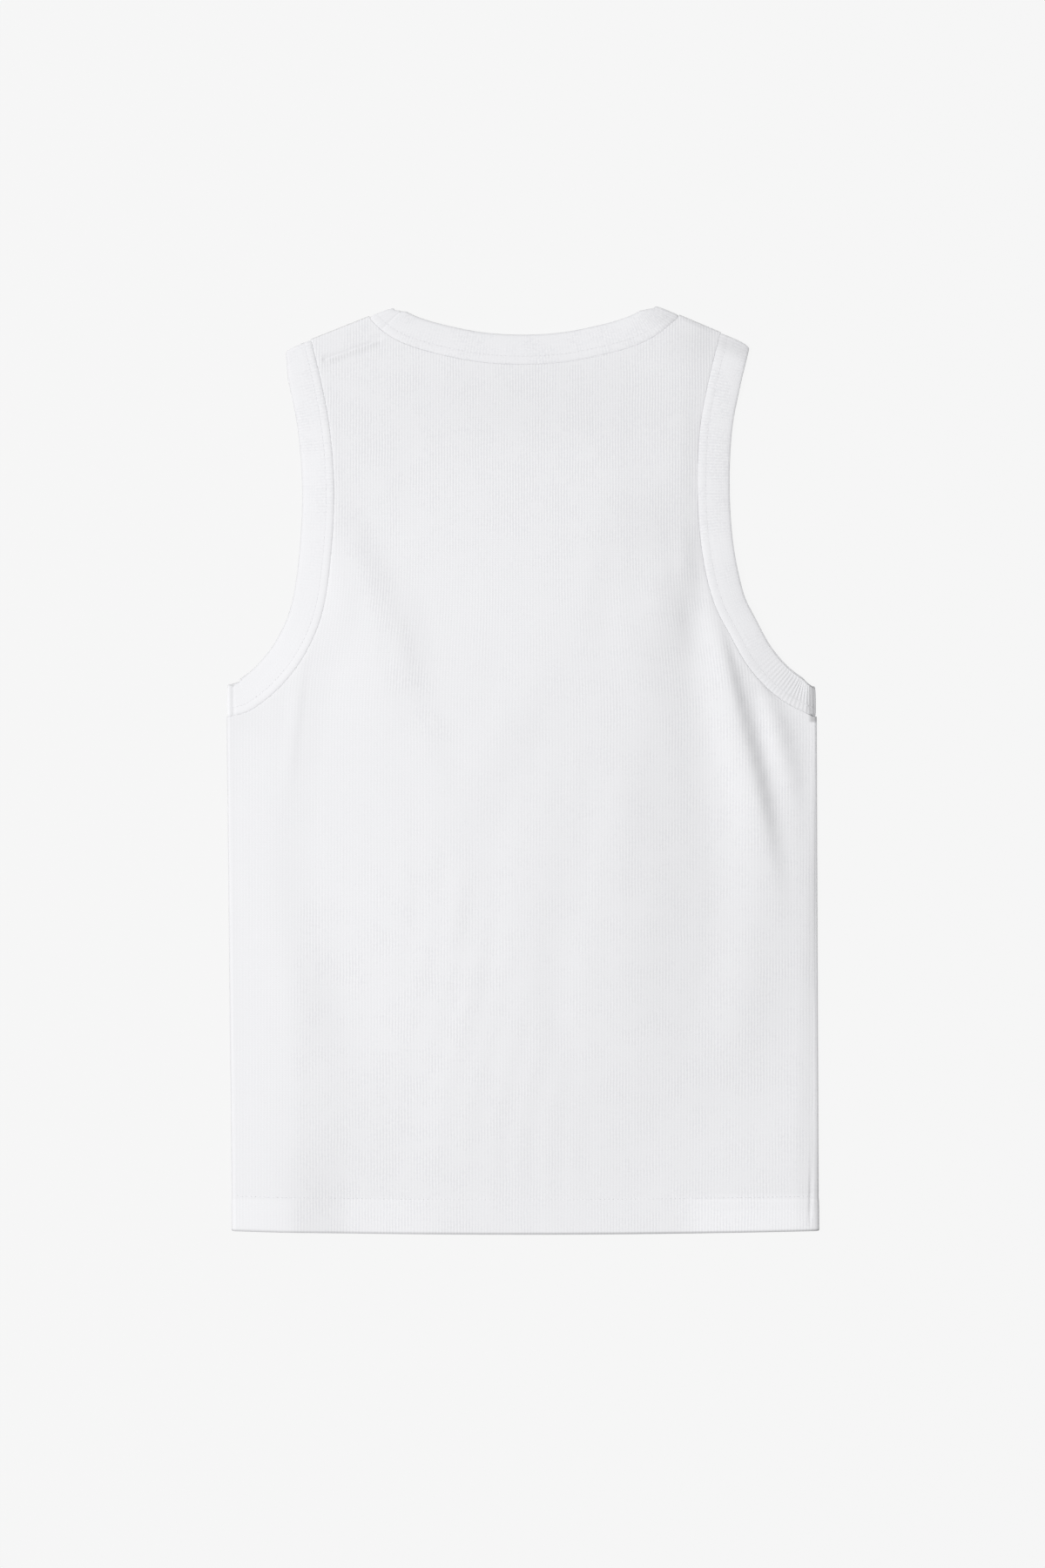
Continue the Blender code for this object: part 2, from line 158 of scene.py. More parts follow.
bandRadius = 2.75


def armholeCurve(half, step):
    knots = [half["side"].at(garment["underarm"], bandRadius), *half["armholeSeam"]]
    knots.append(half["shoulder"].at(half["armholeTravel"], bandRadius))
    return smoothCurve(knots, step)


def neckCurve(knots, step):
    start, end = [half["shoulder"].at(half["neckTravel"], bandRadius) for half in (left, right)]
    mirrored = [(-x, height) for x, height in reversed(knots[1:])]
    return smoothCurve([start, *mirrored, *knots, end], step)


for half in (left, right):
    half["seam"] = armholeCurve(half, curves["seam"])
backNeckSeam = neckCurve(backNeck, curves["seam"])
frontNeckSeam = neckCurve(frontNeck, curves["seam"])


def treeOf(lines):
    points = np.vstack(lines)
    tree = kdtree.KDTree(len(points))
    for index, point in enumerate(points):
        tree.insert((point[0], point[1], 0.0), index)
    tree.balance()
    return tree


def distances(tree, points):
    return np.array([tree.find((x, y, 0.0))[2] for x, y in points])


def hemHeight(x):
    return garment["hemBow"] * (x / garment["halfWidth"]) ** 2


# Folds: a crest through three points, its rise, how far it runs out to either side, the share at its ends
# over which it fades, how near to an edge it calms down, and how much of it is left at the hem

def fold(crest, rise, run, fade=0.4, calm=14, hem=0.35):
    return {"crest": crest, "rise": rise, "run": run, "fade": fade, "calm": calm, "hem": hem}


folds = {
    "crown": fold(((73, 23), (76, 294), (51, 591)), 11.3, (256, 107), fade=0.3, calm=70),
    "left swell": fold(((-50, -23), (-67, 200), (-97, 440)), 6.1, (157, 203), fade=0.3, calm=70),
    "left pleat": fold(((-148, 403), (-170, 289), (-158, 152)), 1.5, (37, 32), fade=0.3),
    "left hem pleat": fold(((-164, 249), (-159, 87), (-161, -86)), 3.4, (87, 41), fade=0.35, calm=40,
                           hem=0.85),
    "left blade": fold(((-121, 494), (-103, 415), (-86, 339)), 3.3, (66, 27), calm=22),
    "blade tail": fold(((-71, 377), (-61, 327), (-49, 278)), 0.43, (24, 16)),
    "centre drag": fold(((25, 406), (-13, 344), (-66, 284)), 0.76, (28, 29)),
    "centre small": fold(((-31, 264), (-48, 217), (-51, 180)), 0.67, (21, 19)),
    "centre low": fold(((40, 253), (24, 175), (34, 86)), -0.6, (18, 20)),
    "low left": fold(((-36, 213), (-37, 154), (-51, 93)), 0.26, (20, 15)),
    "low middle": fold(((11, 317), (-3, 225), (-2, 133)), 0.41, (20, 21)),
    "low left hem": fold(((-68, 146), (-73, 75), (-94, 4)), -0.42, (23, 20)),
    "valley": fold(((97, 352), (98, 236), (90, 108)), -1.1, (33, 33)),
    "valley low": fold(((97, 192), (92, 96), (77, -9)), -0.27, (30, 27)),
    "right crest": fold(((131, 80), (161, 277), (122, 447)), 3.5, (37, 51), fade=0.3, calm=16),
    "right crease": fold(((175, 206), (156, 309), (118, 434)), 2.5, (45, 14), fade=0.32, calm=10),
    "outer crease": fold(((189, 295), (170, 356), (170, 406)), 1.5, (12, 15), fade=0.35),
    "right flank": fold(((184, -55), (186, 138), (202, 331)), 1.7, (78, 19), fade=0.3, calm=8),
    "under right armhole": fold(((105, 489), (105, 444), (99, 392)), 4, (34, 20)),
    "right band side": fold(((108, 585), (108, 530), (103, 463)), 1.2, (38, 25)),
    "left band side": fold(((-111, 575), (-106, 523), (-103, 461)), 0.93, (18, 34)),
    "middle streak": fold(((20, 314), (18, 258), (-2, 192)), 0.38, (18, 18)),
    "right streak": fold(((68, 356), (64, 277), (51, 196)), 0.49, (20, 23)),
    "left hem streak": fold(((-103, 141), (-106, 92), (-113, 31)), 0.48, (18, 18)),
    "left hem ridge": fold(((-127, 164), (-123, 106), (-129, 18)), 1, (24, 19)),
    "right hem ridge": fold(((151, 210), (147, 115), (137, 10)), 0.13, (19, 20)),
    "upper right streak": fold(((67, 497), (59, 435), (54, 375)), -0.52, (18, 17)),
    "blade streak": fold(((-97, 466), (-81, 412), (-74, 355)), 1.3, (17, 20)),
    "right shoulder": fold(((104, 559), (110, 600), (114, 650)), 1, (40, 31), fade=0.3, calm=16),
    "valley edge": fold(((101, 471), (101, 351), (112, 199)), 0.2, (27, 15), fade=0.3),
    "valley hollow": fold(((84, 289), (94, 237), (85, 183)), 0.44, (24, 25)),
    "second drag": fold(((12, 360), (-33, 303), (-72, 238)), 0.24, (20, 16)),
    "third drag": fold(((38, 366), (-9, 289), (-45, 215)), -0.22, (19, 16)),
    "pleat shoulder": fold(((-167, 205), (-142, 127), (-144, 25)), 0.72, (26, 29), fade=0.35),
    "pleat spread": fold(((-137, 192), (-115, 131), (-120, 50)), 0.19, (24, 20), fade=0.35),
    "blade line": fold(((-128, 500), (-95, 425), (-62, 345)), 0.8, (10, 9), fade=0.35, calm=10),
    "left pleat line": fold(((-160, 300), (-154, 350), (-148, 394)), 0.5, (10, 6), fade=0.3, calm=3),
    "crease core": fold(((170, 258), (148, 349), (128, 422)), 2.7, (26, 8), fade=0.26, calm=5),
    "crease bank": fold(((180, 300), (168, 350), (159, 392)), 0.7, (9, 9), fade=0.3, calm=4),
    "armpit crease": fold(((187, 288), (178, 330), (167, 369)), 1.1, (9, 9), fade=0.3, calm=5),
}
relief = {
    "hemCalm": 60.0, "hemStep": 2.0, "ditch": 0.15, "ditchWidth": 1.6, "stitchDip": 0.08,
    "stitchDipWidth": 1.0, "outerTo": 0.5, "ribbedTo": 1.5,
}
# Fine uneven waves across the middle
ripple = {
    "rise": 0.11, "length": 19.0, "lean": 0.12, "leanFrom": 200.0, "sway": (6.0, 41.0), "beat": (1.3, 67.0),
    "patch": (53.0, 31.0), "centre": (-12.0, 170.0), "spread": (72.0, 165.0), "reach": 1.5, "calm": 20.0,
}
# Narrow valleys: a line, how deep and how wide to either side
creases = {
    "left shoulder seam": {"line": ((-97.0, 608.0), (-134.5, 594.8)), "depth": 0.9, "width": 2.2},
    "lower right seam": {"line": ((195.4, 12), (195.8, 24), (196.2, 44)), "depth": 0.8, "width": 2.2},
}


def foldRise(bend, x, height):
    (lowX, low), (midX, mid), (highX, high) = bend["crest"]
    crest = lowX * (height - mid) * (height - high) / ((low - mid) * (low - high))
    crest = crest + midX * (height - low) * (height - high) / ((mid - low) * (mid - high))
    crest = crest + highX * (height - low) * (height - mid) / ((high - low) * (high - mid))
    offset = x - crest
    run = np.where(offset < 0, bend["run"][0], bend["run"][1])
    share = (height - low) / (high - low)
    fade = ease(share / bend["fade"]) * ease((1.0 - share) / bend["fade"])
    return bend["rise"] * fade * ease(1.0 - np.abs(offset) / run)


seamTree = treeOf((left["seam"], right["seam"], backNeckSeam))
for half in (left, right):
    half["seamTree"] = treeOf((half["seam"],))


def rippleRise(x, height):
    (sway, swayLength), (beat, beatLength) = ripple["sway"], ripple["beat"]
    lean = x - ripple["lean"] * (height - ripple["leanFrom"]) + sway * np.sin(height / swayLength)
    wave = np.sin(2 * math.pi * lean / ripple["length"] + beat * np.sin(height / beatLength))
    patch = 0.5 + 0.5 * np.sin(height / ripple["patch"][0] + x / ripple["patch"][1])
    (middleX, middle), (wide, high) = ripple["centre"], ripple["spread"]
    away = np.hypot((x - middleX) / wide, (height - middle) / high)
    return ripple["rise"] * wave * patch * ease(ripple["reach"] - away)


def standing(half, height):
    # how far the upper layer of an armhole band stands up at its seam
    start, full, kept, end = half["standing"]["heights"]
    share = ease((height - start) / (full - start)) * ease((end - height) / (end - kept))
    return half["standing"]["rise"] * share


def lift(points):
    # how far the back stands up from lying flat
    x, height = points[:, 0], points[:, 1]
    edge = np.minimum(left["side"].inset(points), right["side"].inset(points))
    edge = np.maximum(np.minimum(edge, distances(seamTree, points)), 0.0)
    rise = rippleRise(x, height) * ease(edge / ripple["calm"])
    upward = ease(height / relief["hemCalm"])
    for bend in folds.values():
        near = np.clip(1.0 - edge / bend["calm"], 0.0, 1.0)
        kept = bend["hem"] + (1.0 - bend["hem"]) * upward
        rise = rise + foldRise(bend, x, height) * (1.0 - near ** 2) * kept
    for half in (left, right):
        near = distances(half["seamTree"], points)
        aside = ease(half["side"].inset(points) / garment["sideCalm"])
        rise = rise + standing(half, height) * aside * ease(1.0 - near / half["standing"]["reach"])
    for crease in creases.values():
        line = resampled(np.array(crease["line"], float), curves["crease"])
        near = distances(treeOf((line,)), points)
        rise = rise - crease["depth"] * ease(1.0 - near / crease["width"])
    return rise


# Panels

def rowHeights(row, x, panel):
    base, value, _ = row
    top = np.interp(x, panel["top"][:, 0], panel["top"][:, 1])
    if base == "hem":
        return hemHeight(x) + value
    if base == "body":
        return np.full_like(x, value)
    if base == "yoke":
        return panel["bodyEnd"] + (top - panel["yokeTop"] - panel["bodyEnd"]) * value
    return top - value


def drawing(height):
    return 1.0 - ribs["drawnIn"] * ease((height - ribs["drawnFrom"]) / (ribs["drawnTo"] - ribs["drawnFrom"]))


def ribShare(x, height):
    step = np.round(x / drawing(height) / ribStep).astype(int) % ribs["steps"]
    return np.array(ribs["profile"])[step]


def placedPoints(points, depth, lifted):
    # points are on the cut cloth; the sides run on round their fold by its arc, and the front is turned over
    radius = garment["foldRadius"]
    arc = radius - depth
    plan = points.copy()
    z = 2 * radius - depth
    if lifted:
        z = z + lift(points)
    for half in (left, right):
        edge = np.abs(half["side"].crossAt(points[:, 1]))
        turn = (np.abs(points[:, 0]) - (edge - radius)) / radius
        folding = (turn > 0) & (np.sign(points[:, 0]) == half["sign"])
        folding &= points[:, 1] < garment["sideTop"]
        turn = np.clip(turn, 0.0, math.pi / 2)
        plan[folding, 0] = (half["sign"] * (edge - radius + arc * np.sin(turn)))[folding]
        z[folding] = (radius + np.maximum(arc * np.cos(turn), garment["seamGap"] / 2))[folding]
    for half in (left, right):
        inset = np.maximum(half["shoulder"].inset(points), 0.0)
        folding = (inset < radius) & (points[:, 1] > garment["shoulderFrom"])
        turn = np.arcsin(np.clip((radius - inset) / radius, 0.0, 1.0))
        shift = radius - inset - arc * np.sin(turn)
        plan[folding] = (points + half["shoulder"].inward * shift[:, None])[folding]
        z[folding] = (radius + np.maximum(arc * np.cos(turn), garment["seamGap"] / 2))[folding]
    if not lifted:
        z = 2 * radius - z
    return np.column_stack((plan[:, 0], plan[:, 1] - garment["length"] / 2, z))


def sideways(points, distance):
    # the curve moved towards the middle of the garment
    run = np.gradient(points, axis=0)
    run /= np.linalg.norm(run, axis=1)[:, None]
    normal = np.column_stack((-run[:, 1], run[:, 0]))
    middle = len(points) // 2
    if normal[middle][0] * points[middle][0] > 0:
        normal = -normal
    return points + normal * distance


turnExtra = (math.pi / 2 - 1) * garment["foldRadius"]
cutRun = {
    "pastSide": 0.6, "pastShoulder": 3.0, "spare": 3.0, "merge": 0.02, "halvings": 30, "growFrom": 340.0,
    "growNear": 0.08,
}


def cutSeam(half):
    # the armhole seam on the cut cloth, run on past both folds
    start = half["side"].at(garment["underarm"], -(turnExtra + cutRun["pastSide"]))
    end = half["shoulder"].at(half["armholeTravel"], -cutRun["pastShoulder"])
    return resampled(np.vstack((start, half["seam"], end)), curves["seam"])


def edgeBetween(isInside, start, end):
    # where the cloth ends, on the way from a spot inside to one outside
    for _ in range(cutRun["halvings"]):
        middle = (start + end) / 2
        if isInside(*middle):
            start = middle
        else:
            end = middle
    return (start + end) / 2


def makeGrid(columnCount, rowCount):
    # each vertex with its row and its column
    mesh = bmesh.new()
    bmesh.ops.create_grid(mesh, x_segments=columnCount - 1, y_segments=rowCount - 1, size=0.5)
    places = {}
    for vertex in mesh.verts:
        row = int(round((vertex.co.y + 0.5) * (rowCount - 1)))
        places[vertex] = (row, int(round((vertex.co.x + 0.5) * (columnCount - 1))))
    return mesh, places


def buildPanel(name, panel, material):
    reachColumns = int((garment["halfWidth"] + cutRun["spare"]) / ribStep)
    columns = np.arange(-reachColumns, reachColumns + 1) * ribStep
    rows = panel["rows"]
    heights = np.array([rowHeights(row, columns, panel) for row in rows])
    lanes = columns * drawing(heights)
    heights = np.array([rowHeights(row, lanes[i], panel) for i, row in enumerate(rows)])
    core = panel["seamLoops"][0]
    reach = {}
    for half in (left, right):
        inner = sideways(half["cut"], core)
        climb = np.maximum.accumulate(inner[:, 1] + np.arange(len(inner)) * 1e-6)
        reach[half["sign"]] = (half, inner, climb)

    def isInside(x, height):
        half, inner, climb = reach[-1 if x < 0 else 1]
        if height <= panel["corner"] + cutRun["merge"]:
            return abs(x) <= abs(half["side"].crossAt(height)) + turnExtra
        return abs(x) <= abs(np.interp(height, climb, inner[:, 0]))

    grid = np.dstack((lanes, heights))
    inside = np.array([[isInside(*spot) for spot in row] for row in grid])
    spots = {}
    rowCount, columnCount = inside.shape
    near = np.zeros_like(inside)
    for down in (-1, 0, 1):
        for aside in (-1, 0, 1):
            near |= np.roll(np.roll(inside, down, 0), aside, 1)
    diagonal = []
    for i, j in zip(*np.nonzero(near & ~inside)):
        beside = [(i, j + k) for k in (-1, 1) if 0 <= j + k < columnCount and inside[i, j + k]]
        above = [(i + k, j) for k in (-1, 1) if 0 <= i + k < rowCount and inside[i + k, j]]
        if heights[i, j] > panel["corner"]:
            beside = above + beside
        if beside:
            spots[i, j] = edgeBetween(isInside, grid[beside[0]], grid[i, j])
        else:
            diagonal.append((i, j))
    for i, j in diagonal:
        for k in (-1, 1):
            for m in (-1, 1):
                corner = (i + k, j + m)
                if 0 <= i + k < rowCount and 0 <= j + m < columnCount and inside[corner]:
                    spots[i, j] = spots.get((i, j + m), spots.get((i + k, j)))
    mesh, places = makeGrid(columnCount, rowCount)
    unused = [face for face in mesh.faces if not any(inside[places[v]] for v in face.verts)]
    for vertex, (i, j) in places.items():
        vertex.co = (*spots.get((i, j), grid[i, j]), rows[i][2])
    bmesh.ops.delete(mesh, geom=unused, context="FACES")
    bmesh.ops.remove_doubles(mesh, verts=mesh.verts, dist=cutRun["merge"])
    for half in (left, right):
        growSeam(mesh, half, panel["seamLoops"])
    finishPanel(mesh, panel)
    return asObject(name, mesh, material)


def growSeam(mesh, half, loops):
    # the last strips follow the armhole seam
    lines = [sideways(half["cut"], loop) for loop in loops]
    tree = treeOf((resampled(lines[0], curves["grow"]),))

    def isAtSeam(vertex):
        x, height, _ = vertex.co
        return height > cutRun["growFrom"] and tree.find((x, height, 0))[2] < cutRun["growNear"]

    ring = [edge for edge in mesh.edges if edge.is_boundary and all(isAtSeam(v) for v in edge.verts)
            and edge.verts[0].co.z < cutRun["merge"]]
    for before, after in zip(lines, lines[1:]):
        made = bmesh.ops.extrude_edge_only(mesh, edges=ring)["geom"]
        fresh = {item for item in made if isinstance(item, bmesh.types.BMVert)}
        ring = [item for item in made if isinstance(item, bmesh.types.BMEdge)
                and all(v in fresh for v in item.verts)]
        index = treeOf((before,))
        for vertex in fresh:
            here = np.array(vertex.co[:2])
            number = index.find((here[0], here[1], 0.0))[1]
            tries = []
            for first in (number - 1, number):
                if 0 <= first < len(before) - 1:
                    run = before[first + 1] - before[first]
                    share = np.clip(((here - before[first]) @ run) / (run @ run), 0.0, 1.0)
                    gap = np.linalg.norm(before[first] + run * share - here)
                    tries.append((gap, first, share))
            _, first, share = min(tries)
            point = after[first] + (after[first + 1] - after[first]) * share
            vertex.co = (point[0], point[1], vertex.co.z)


def finishPanel(mesh, panel):
    layer = mesh.loops.layers.uv.new("knit")  # counts in steps of 100 mm
    for face in mesh.faces:
        face.smooth = True
        for loop in face.loops:
            x, height = loop.vert.co.x, loop.vert.co.y
            loop[layer].uv = (x / drawing(height) / 100, height / 100)
    flat = np.array([vertex.co for vertex in mesh.verts])
    points, depth = flat[:, :2], flat[:, 2]
    near = distances(panel["seams"], points)
    ditch = relief["ditch"] * (1.0 - ease(near / relief["ditchWidth"]))
    relieved = ribs["depth"] * (1.0 - ribShare(points[:, 0], points[:, 1])) * (depth < relief["ribbedTo"])
    hem = panel["hemRise"] * ease((panel["hemDepth"] - points[:, 1]) / relief["hemStep"] + 0.5)
    stitched = 0.0
    for row in thread["hemLines"]:
        away = np.abs(points[:, 1] - hemHeight(points[:, 0]) - row)
        stitched = stitched + np.clip(1.0 - away / relief["stitchDipWidth"], 0.0, 1.0)
    sunk = depth + ditch + relieved + (relief["stitchDip"] * stitched - hem) * (depth < relief["outerTo"])
    placed = placedPoints(points, sunk, panel["lifted"])
    for vertex, place in zip(mesh.verts, placed * mm):
        vertex.co = place
    bmesh.ops.recalc_face_normals(mesh, faces=mesh.faces)
    up = sum(face.normal.z * face.calc_area() for face in mesh.faces)
    if (up > 0) != panel["lifted"]:
        bmesh.ops.reverse_faces(mesh, faces=mesh.faces)


def asObject(name, mesh, material):
    data = bpy.data.meshes.new(name)
    mesh.to_mesh(data)
    mesh.free()
    data.materials.append(material)
    piece = bpy.data.objects.new(name, data)
    bpy.context.scene.collection.objects.link(piece)
    return piece


def thicken(piece, thickness):
    wall = piece.modifiers.new("cloth", "SOLIDIFY")
    wall.thickness = thickness * mm
    wall.offset = -1.0
    wall.use_rim = True
    wall.use_quality_normals = True


for half in (left, right):
    half["cut"] = cutSeam(half)


def topOutline(neck):
    # neck seam and shoulders, run on past the armholes
    ends = [half["shoulder"].at(half[key]) for half in (left, right) for key in ("shoulderRun", "neckTravel")]
    points = np.array([*neck, *ends])
    return points[np.argsort(points[:, 0])]


# rows: what they are measured from, how far, and how deep they lie; the first ones curl round the hem's edge
hemRows = [("hem", 24.0, 2.0), ("hem", 1.0, 2.0), ("hem", 0.29, 1.71), ("hem", 0.0, 1.0), ("hem", 0.29, 0.29)]
hemRows += [("hem", value, 0.0) for value in (1.0, 4.0, 11.0, 17.2, 18.4, 19.6, 22.8, 24.0, 25.6, 32.0)]
topRows = (26.0, 22.5, 20.0, 18.4, 17.2, 16.0, 13.6, 11.0, 8.6, 6.2, 4.2, 2.6, 1.5, 0.7, 0.0)
cornerHeight = garment["underarm"] - 1.8
bothPanels = {
    "corner": cornerHeight,
    "seamLoops": (1.8, 1.0, 0.45, 0.0),
    "seams": treeOf([resampled(half["cut"], curves["cut"]) for half in (left, right)]),
    "hemDepth": 24.0,
}


def panelRows(counts, bodyEnd, yokeShares, topDrops):
    lower = np.linspace(hemRows[-1][1], cornerHeight, counts[0])[1:]
    upper = np.linspace(cornerHeight, bodyEnd, counts[1])[1:]
    rows = [("body", height, 0.0) for height in (*lower, *upper)]
    rows += [("yoke", share, 0.0) for share in yokeShares]
    return hemRows + rows + [("top", drop, 0.0) for drop in topDrops]


backPanel = {
    **bothPanels,
    "rows": panelRows((24, 12), 500.0, (0.2, 0.4, 0.6, 0.8), topRows),
    "top": topOutline(backNeckSeam),
    "bodyEnd": 500.0,
    "yokeTop": 26.0,
    "hemRise": 0.3,
    "lifted": True,
}
frontPanel = {
    **bothPanels,
    "rows": panelRows((9, 5), 460.0, (0.33, 0.67), (16.0, 6.0, 2.6, 1.5, 0.7, 0.0)),
    "top": topOutline(frontNeckSeam),
    "bodyEnd": 460.0,
    "yokeTop": 16.0,
    "hemRise": 0.0,
    "lifted": False,
}


# Bands: a strip folded in two round each opening, up one layer and down the other

bandCut = {
    "width": 21.8, "neckWidth": 20.2, "neckAtShoulder": 17.5, "cloth": 2.6, "wall": 1.15, "gap": 0.1,
    "turnShare": 0.08, "tipShare": 0.085, "tipRound": 4.5, "joinDip": 0.25, "joinWidth": 2.0, "flat": 0.6,
    "lookStep": 0.01, "turnRows": 0.9, "rowRun": 2.6, "narrowFrom": (450.0, 50.0), "merge": 0.01,
    "topFrom": 4.9,
}
# from the seam (base 0) or the outer edge (base 1): across, height share, and the way the ribs stand
bandSection = (
    (0, -0.2, 0.3, (0.2, 0.3)), (0, -0.15, 0.5, (0, 0.6)), (0, 0.2, 0.59, (-0.1, 0.8)),
    (0, 0.9, 0.68, (0, 1)), (0, 2.0, 0.75, (0, 1)), (0, 3.4, 0.78, (0, 1)),
    (0, 4.8, 0.78, (0, 1)), (0, 5.4, 0.76, (0, 0.4)), (0, 6.0, 0.78, (0, 1)),
    (1, -9.5, 0.78, (0, 1)), (1, -6.0, 0.75, (0, 1)), (1, -3.0, 0.69, (0.1, 1)),
    (1, -1.2, 0.59, (0.5, 0.9)), (1, -0.35, 0.48, (0.9, 0.5)), (1, -0.02, 0.34, (1, 0)),
    (1, -0.35, 0.2, (0.9, -0.5)), (1, -1.4, 0.06, (0.3, -1)), (1, -3.2, 0.0, (0, -1)),
    (0, 1.0, 0.0, (0, -1)),
)


def pointAt(points, travel, share):
    stop = share * travel[-1]
    return np.array([np.interp(stop, travel, points[:, k]) for k in (0, 1)])


class Band:
    def __init__(self, back, front, width, first, last, half=None, straightTips=False):
        # first and last: fold line, the way to the outer edge there, width there
        self.half = half
        self.straightTips = straightTips
        self.seams = [(line, travels(line)) for line in (back, front)]
        self.width, self.first, self.last = width, first, last

    def cutAt(self, lap, share):
        # the neck band's tips run straight
        point, across, width = self.cutAcross(lap, share)
        bend = bandCut["tipShare"]
        for end, reach in ((0.0, share), (1.0, 1.0 - share)):
            if self.straightTips and reach < bend:
                corner, outward, reachOut = self.cutAcross(lap, end)
                other, otherWay, otherOut = self.cutAcross(lap, abs(end - bend))
                tip, turn = corner + outward * reachOut, other + otherWay * otherOut
                across = tip + (turn - tip) * (reach / bend) - point
                width = np.linalg.norm(across)
                across = across / width
        return point, across, width

    def cutAcross(self, lap, share):
        line, travel = self.seams[lap]
        point = pointAt(line, travel, share)
        look = bandCut["lookStep"]
        run = pointAt(line, travel, min(share + look, 1.0)) - pointAt(line, travel, max(share - look, 0.0))
        run = run / np.linalg.norm(run)
        across = np.array((-run[1], run[0]))
        if across @ (self.first[1] + self.last[1]) < 0:
            across = -across
        point = point + across * bandCut["gap"]
        width = self.width - bandCut["gap"]
        for (_, outward, endWidth), reach in ((self.first, share), (self.last, 1.0 - share)):
            pull = ease(1.0 - reach / bandCut["turnShare"])
            across = across * (1.0 - pull) + outward * pull
            width = width * (1.0 - pull) + (endWidth - bandCut["gap"]) * pull
        return point, across / np.linalg.norm(across), width

    def frameAt(self, route):
        # where a section starts, its way across, its width, and how it turns over a fold
        lap = int(route) % 4
        share = route - int(route)
        seam, turn, line = 0, 0.0, self.first[0]
        if lap == 1:
            share, turn, line = 1.0, share * math.pi, self.last[0]
        elif lap == 2:
            share, turn, seam = 1.0 - share, math.pi, 1
        elif lap == 3:
            share, turn = 0.0, (1.0 - share) * math.pi
        point, across, width = self.cutAt(seam, share)
        if self.half:
            top, over = bandCut["narrowFrom"]
            width -= self.half["narrowing"] * ease((top - point[1]) / over)
            toEnd = (1.0 - share) * self.seams[seam][1][-1] + bandRadius * (1.0 - math.sin(turn))
            short = max(0.0, bandCut["tipRound"] - toEnd)
            width -= bandCut["tipRound"] - math.sqrt(bandCut["tipRound"] ** 2 - short ** 2)
        return point, across, width, turn, line

    def spot(self, place, base, across, height, sunk=(0.0, 0.0)):
        start, outward, width, turn, line = place
        reach = base * width + across - sunk[0]
        radius = garment["seamGap"] / 2 + height * bandCut["cloth"] - sunk[1]
        plan = start + outward * reach - line.inward * (radius * math.sin(turn))
        rise = bandRadius + radius * math.cos(turn)
        if self.half and turn == 0.0:
            fall = np.clip(reach / width, 0.0, 1.0) * (1.0 - self.half["standing"]["outer"])
            aside = ease(self.half["side"].inset(start) / garment["sideCalm"])
            rise += standing(self.half, start[1]) * aside * (1.0 - fall)
        return np.array((plan[0], plan[1] - garment["length"] / 2, rise))

    def stations(self):
        # routes four to a rib
        routes = []
        for lap in range(4):
            length = math.pi * bandRadius * bandCut["turnRows"] if lap % 2 else self.seams[lap // 2][1][-1]
            count = int(round(length / ribs["pitch"])) * ribs["steps"]
            routes += [lap + k / count for k in range(count)]
        return routes


# Where the right band starts, at the side: it rolls under, and its ribs are gathered
underarm = {
    "dip": 3.0, "dipReach": 6.0, "gather": 0.55, "gatherFrom": 5.0, "gatherReach": 74.0, "gatherPitch": 3.05,
    "atSeam": 0.5, "atEdge": 0.3,
}


def buildBand(name, band, joins, material, gathered=None):
    routes = band.stations()
    profile = ribs["profile"]
    backLength = band.seams[0][1][-1]
    mesh, cells = makeGrid(len(routes) + 1, len(bandSection))
    layer = mesh.loops.layers.uv.new("knit")
    for face in mesh.faces:
        face.smooth = True
        for loop in face.loops:
            k, i = cells[loop.vert]
            loop[layer].uv = (i * ribStep / 100, k * bandCut["rowRun"] / 100)
    frames = [band.frameAt(route) for route in routes]
    for vertex, (k, i) in cells.items():
        base, across, height, way = bandSection[k]
        route = routes[i % len(routes)]
        fromSide = backLength * min(route if route < 2 else 3 - route, 1.0) if route < 3 else 0.0
        dip = gather = 0.0
        if gathered:
            dip = gathered["dip"] * max(0.0, 1.0 - fromSide / gathered["dipReach"]) ** 1.5
            inShare = fromSide / gathered["gatherFrom"]
            gather = gathered["gather"] * ease(1.0 - fromSide / gathered["gatherReach"]) * ease(inShare)
            wave = 0.5 - 0.5 * math.cos(2 * math.pi * fromSide / gathered["gatherPitch"] + math.sin(inShare))
            gather *= wave * (1.0 if base else gathered["atSeam"])
            gather *= gathered["atEdge"] if way[0] > 0.4 else 1.0
        hollow = ribs["bandDepth"] * (1.0 - profile[i % ribs["steps"]]) + gather
        for join in joins:
            away = abs(route - join) * backLength
            hollow += bandCut["joinDip"] * ease(1.0 - away / bandCut["joinWidth"])
        sunk = (way[0] * hollow, way[1] * hollow)
        x, y, rise = band.spot(frames[i % len(routes)], base, across, height, sunk)
        rise -= dip * max(0.0, rise - bandCut["flat"]) / (2 * bandRadius - bandCut["flat"])
        vertex.co = Vector((x, y, rise)) * mm
    bmesh.ops.remove_doubles(mesh, verts=mesh.verts, dist=bandCut["merge"] * mm)
    bmesh.ops.recalc_face_normals(mesh, faces=mesh.faces)
    top = [face for face in mesh.faces if face.calc_center_median().z > bandCut["topFrom"] * mm]
    if sum(face.normal.z for face in top) < 0:
        bmesh.ops.reverse_faces(mesh, faces=mesh.faces)
    return asObject(name, mesh, material)


def armholeBand(half):
    seam = armholeCurve(half, curves["band"])
    first = (half["side"], half["side"].along, bandCut["width"])
    last = (half["shoulder"], half["shoulder"].along, half["bandAtShoulder"])
    return Band(seam, seam, bandCut["width"], first, last, half)


